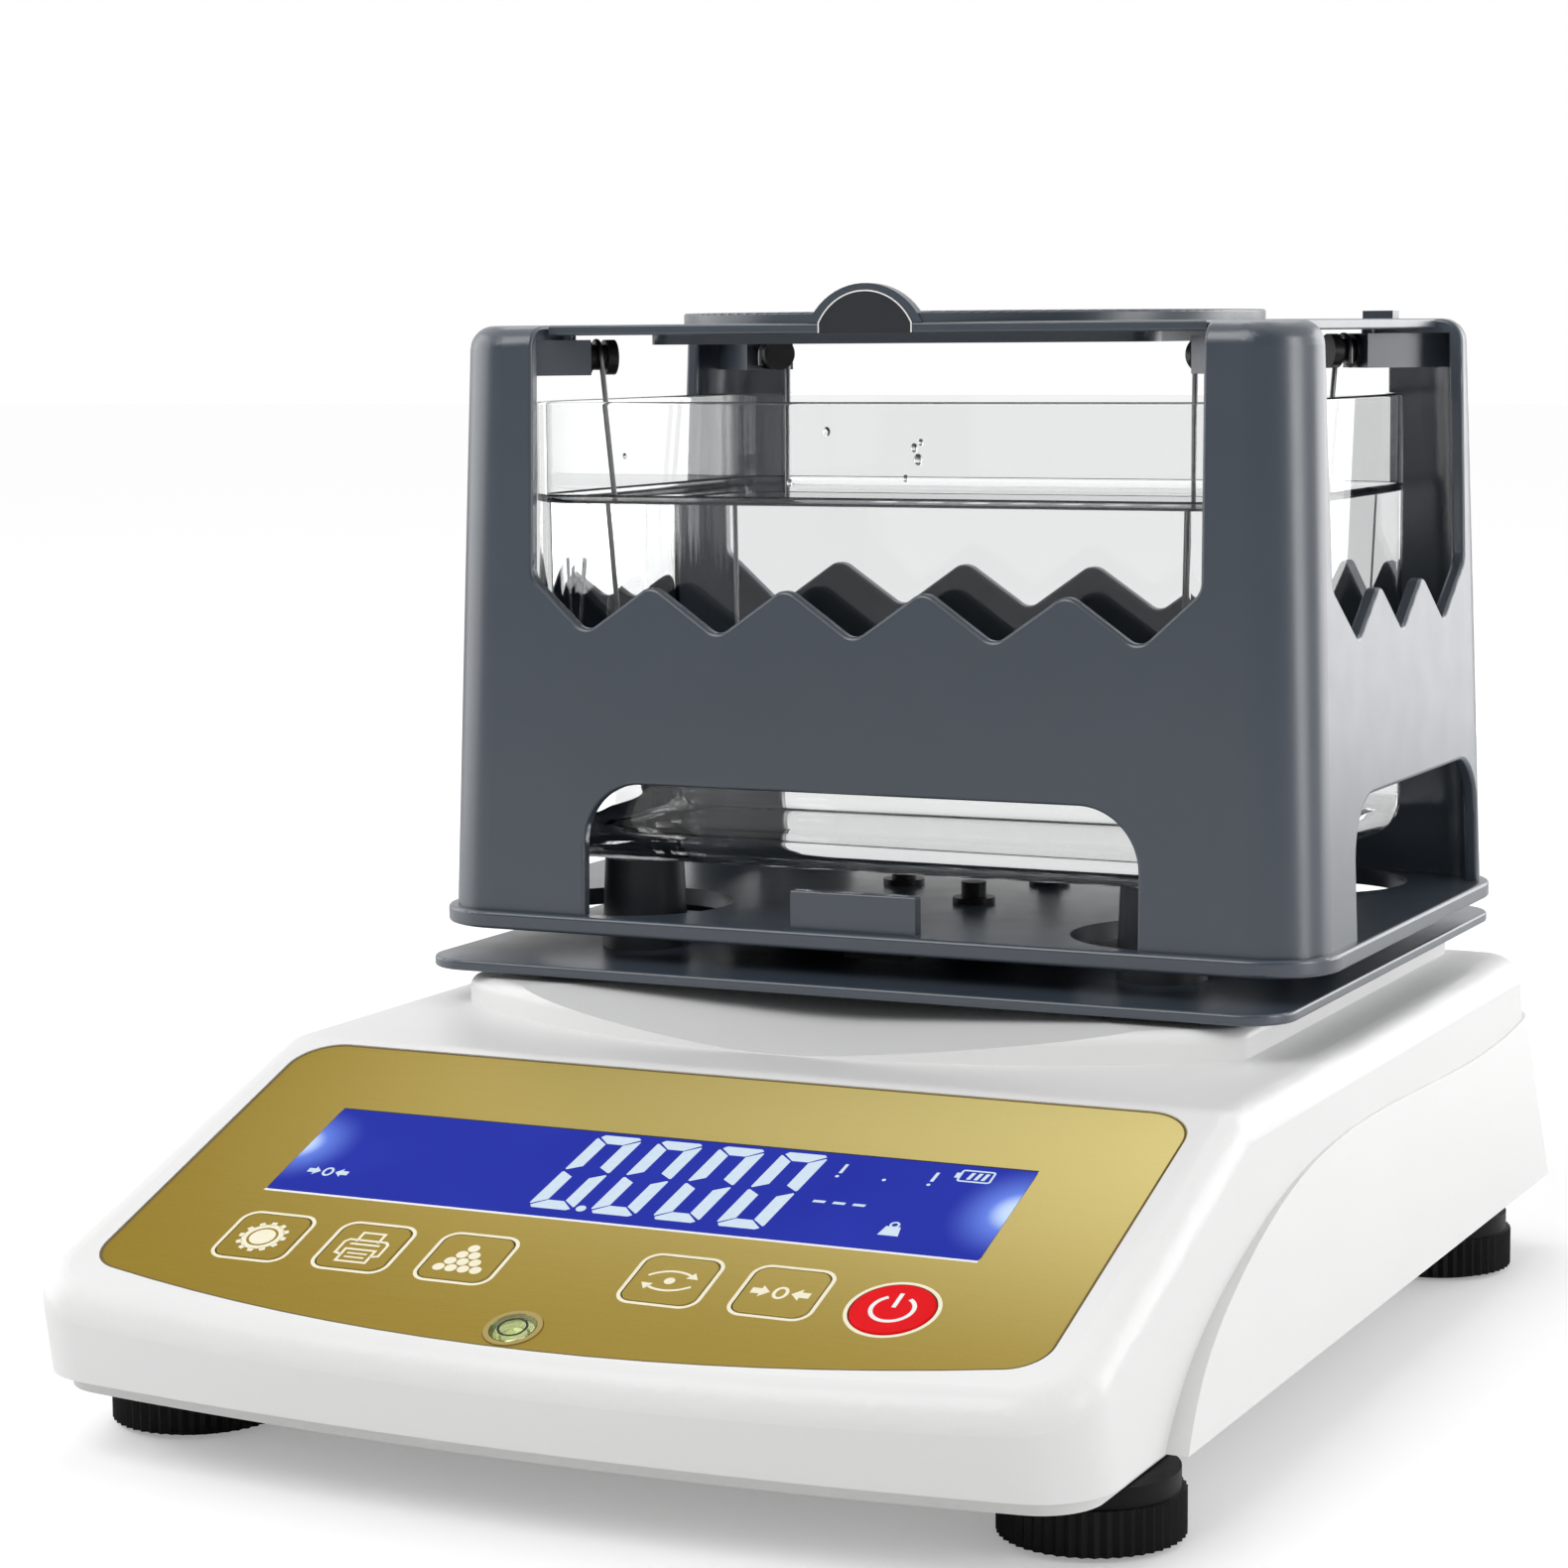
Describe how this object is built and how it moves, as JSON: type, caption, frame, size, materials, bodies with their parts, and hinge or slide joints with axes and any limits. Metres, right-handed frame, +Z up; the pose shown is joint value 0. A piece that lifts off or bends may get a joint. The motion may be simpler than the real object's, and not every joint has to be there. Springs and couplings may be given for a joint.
{
  "type": "electronic gold tester",
  "caption": "Bench density balance: white case with sloping gold panel, blue display and keys, and a grey weighing frame that carries a pan above and a basket in a clear water tank.",
  "frame": {"origin": "on the table, under the middle of the bounding box", "axes": "+X to the right seen from the keys, +Y to the back, +Z up"},
  "size_m": [0.212, 0.2859, 0.209],
  "materials": {
    "case_white": "glossy off-white moulded plastic",
    "base_white": "matt moulded plastic, light grey white",
    "panel_gold": "satin gold printed film",
    "window_clear": "clear window",
    "display_blue": "lit blue display glass",
    "board_green": "green circuit board",
    "screw_steel": "plated steel",
    "key_gold": "satin gold key",
    "key_red": "red key",
    "level_black": "black cup",
    "level_clear": "yellow green lens",
    "battery_dark": "dark battery case",
    "foot_black": "black moulded knob",
    "pad_rubber": "black rubber",
    "cell_aluminium": "milled aluminium",
    "port_metal": "plated shell",
    "inlet_black": "black socket",
    "frame_grey": "blue-grey moulded plastic, satin",
    "post_dark": "dark grey plastic",
    "peg_black": "black plastic",
    "wire_steel": "thin steel wire",
    "basket_grey": "grey perforated plastic",
    "tank_clear": "clear moulded tank"
  },
  "bodies": {
    "case": {"upper_shell": "case_white", "lower_shell": "base_white", "control_panel": "panel_gold", "display_window": "window_clear", "lcd_module": "display_blue", "display_board": "board_green", "board_screws": "screw_steel", "level_cup": "level_black", "level_lens": "level_clear", "battery_door": "base_white", "battery_pack": "battery_dark", "case_screws": "screw_steel", "main_board": "board_green", "cell_pedestal": "cell_aluminium", "load_cell": "cell_aluminium", "cell_screws": "screw_steel", "serial_port": "port_metal", "dc_inlet": "inlet_black", "lower_plate": "frame_grey", "plate_pads": "pad_rubber", "tank_post_front_left": "post_dark", "tank_post_front_right": "post_dark", "tank_post_rear_left": "post_dark", "tank_post_rear_right": "post_dark"},
    "weighing_frame": {"weighing_bridge": "cell_aluminium", "weighing_spider": "cell_aluminium", "frame_floor": "frame_grey", "hub_screws": "peg_black", "frame_body": "frame_grey", "hanger_wires": "wire_steel", "basket_tray": "basket_grey", "hanger_peg_front_left": "peg_black", "hanger_peg_front_right": "peg_black", "hanger_peg_rear_left": "peg_black", "hanger_peg_rear_right": "peg_black"},
    "pan": {"weighing_pan": "frame_grey"},
    "tank": {"water_tank": "tank_clear"},
    "key_set": {"key_set": "key_gold"},
    "key_print": {"key_print": "key_gold"},
    "key_enter": {"key_enter": "key_gold"},
    "key_mode": {"key_mode": "key_gold"},
    "key_zero": {"key_zero": "key_gold"},
    "key_power": {"key_power": "key_red"},
    "foot_front_left": {"foot_pad_front_left": "pad_rubber"},
    "knob_front_left": {"foot_knob_front_left": "foot_black"},
    "foot_front_right": {"foot_pad_front_right": "pad_rubber"},
    "knob_front_right": {"foot_knob_front_right": "foot_black"},
    "foot_rear_left": {"foot_pad_rear_left": "pad_rubber"},
    "knob_rear_left": {"foot_knob_rear_left": "foot_black"},
    "foot_rear_right": {"foot_pad_rear_right": "pad_rubber"},
    "knob_rear_right": {"foot_knob_rear_right": "foot_black"}
  },
  "joints": [
    {"name": "frame_float", "type": "slide", "parent": "case", "child": "weighing_frame", "axis": [0, 0, 1], "range_m": [-0.0005, 0], "stiffness_N_per_m": 20000, "springref_m": 0.0004},
    {"name": "pan_lift", "type": "slide", "parent": "weighing_frame", "child": "pan", "axis": [0, 0, 1], "range_m": [0, 0.03]},
    {"name": "tank_lift", "type": "slide", "parent": "case", "child": "tank", "axis": [0, 0, 1], "range_m": [0, 0.004]},
    {"name": "key_set_press", "type": "slide", "parent": "case", "child": "key_set", "axis": [0, 0.3338, -0.9426], "range_m": [0, 0.0005], "stiffness_N_per_m": 1500, "springref_m": -0.0003},
    {"name": "key_print_press", "type": "slide", "parent": "case", "child": "key_print", "axis": [0, 0.3338, -0.9426], "range_m": [0, 0.0005], "stiffness_N_per_m": 1500, "springref_m": -0.0003},
    {"name": "key_enter_press", "type": "slide", "parent": "case", "child": "key_enter", "axis": [0, 0.3338, -0.9426], "range_m": [0, 0.0005], "stiffness_N_per_m": 1500, "springref_m": -0.0003},
    {"name": "key_mode_press", "type": "slide", "parent": "case", "child": "key_mode", "axis": [0, 0.3338, -0.9426], "range_m": [0, 0.0005], "stiffness_N_per_m": 1500, "springref_m": -0.0003},
    {"name": "key_zero_press", "type": "slide", "parent": "case", "child": "key_zero", "axis": [0, 0.3338, -0.9426], "range_m": [0, 0.0005], "stiffness_N_per_m": 1500, "springref_m": -0.0003},
    {"name": "key_power_press", "type": "slide", "parent": "case", "child": "key_power", "axis": [0, 0.3338, -0.9426], "range_m": [0, 0.0005], "stiffness_N_per_m": 1500, "springref_m": -0.0003},
    {"name": "foot_lift_front_left", "type": "slide", "parent": "case", "child": "foot_front_left", "axis": [0, 0, 1], "range_m": [-0.00505, 0]},
    {"name": "foot_turn_front_left", "type": "hinge", "parent": "foot_front_left", "child": "knob_front_left", "pos_m": [-0.0886, -0.098, 0.005], "axis": [0, 0, 1], "range_deg": [-1440, 0]},
    {"name": "foot_lift_front_right", "type": "slide", "parent": "case", "child": "foot_front_right", "axis": [0, 0, 1], "range_m": [-0.00505, 0]},
    {"name": "foot_turn_front_right", "type": "hinge", "parent": "foot_front_right", "child": "knob_front_right", "pos_m": [0.0886, -0.098, 0.005], "axis": [0, 0, 1], "range_deg": [-1440, 0]},
    {"name": "foot_lift_rear_left", "type": "slide", "parent": "case", "child": "foot_rear_left", "axis": [0, 0, 1], "range_m": [-0.00505, 0]},
    {"name": "foot_turn_rear_left", "type": "hinge", "parent": "foot_rear_left", "child": "knob_rear_left", "pos_m": [-0.0886, 0.108, 0.005], "axis": [0, 0, 1], "range_deg": [-1440, 0]},
    {"name": "foot_lift_rear_right", "type": "slide", "parent": "case", "child": "foot_rear_right", "axis": [0, 0, 1], "range_m": [-0.00505, 0]},
    {"name": "foot_turn_rear_right", "type": "hinge", "parent": "foot_rear_right", "child": "knob_rear_right", "pos_m": [0.0886, 0.108, 0.005], "axis": [0, 0, 1], "range_deg": [-1440, 0]}
  ],
  "couplings": [
    {"joint": "foot_lift_front_left", "follows": "foot_turn_front_left", "m_per_rad": 0.00019894},
    {"joint": "foot_lift_front_right", "follows": "foot_turn_front_right", "m_per_rad": 0.00019894},
    {"joint": "foot_lift_rear_left", "follows": "foot_turn_rear_left", "m_per_rad": 0.00019894},
    {"joint": "foot_lift_rear_right", "follows": "foot_turn_rear_right", "m_per_rad": 0.00019894}
  ]
}
